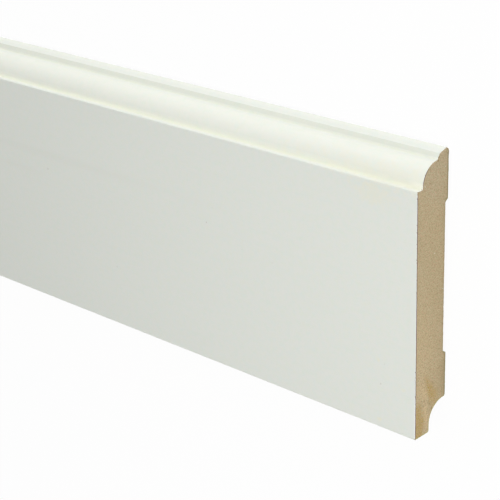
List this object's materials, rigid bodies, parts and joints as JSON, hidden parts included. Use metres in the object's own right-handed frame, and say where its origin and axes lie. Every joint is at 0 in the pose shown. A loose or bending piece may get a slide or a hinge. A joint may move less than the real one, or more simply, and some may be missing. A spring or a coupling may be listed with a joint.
{
  "type": "skirting board length",
  "caption": "Straight length of skirting board with an ovolo and bead moulding along its top edge, a relieved back and a cable cove behind its foot.",
  "frame": {"origin": "centre of the back, on the plane of the two back lands", "axes": "+X along the length, +Y from the floor edge to the moulded top edge, +Z from the back to the face"},
  "size_m": [2.4, 0.12, 0.02],
  "materials": {
    "filmed_mdf": "satin off-white facing film over face, moulding and top; bare medium-density fibreboard at the sawn ends and on the back"
  },
  "bodies": {
    "root": {"skirting_board": "filmed_mdf"}
  },
  "joints": []
}
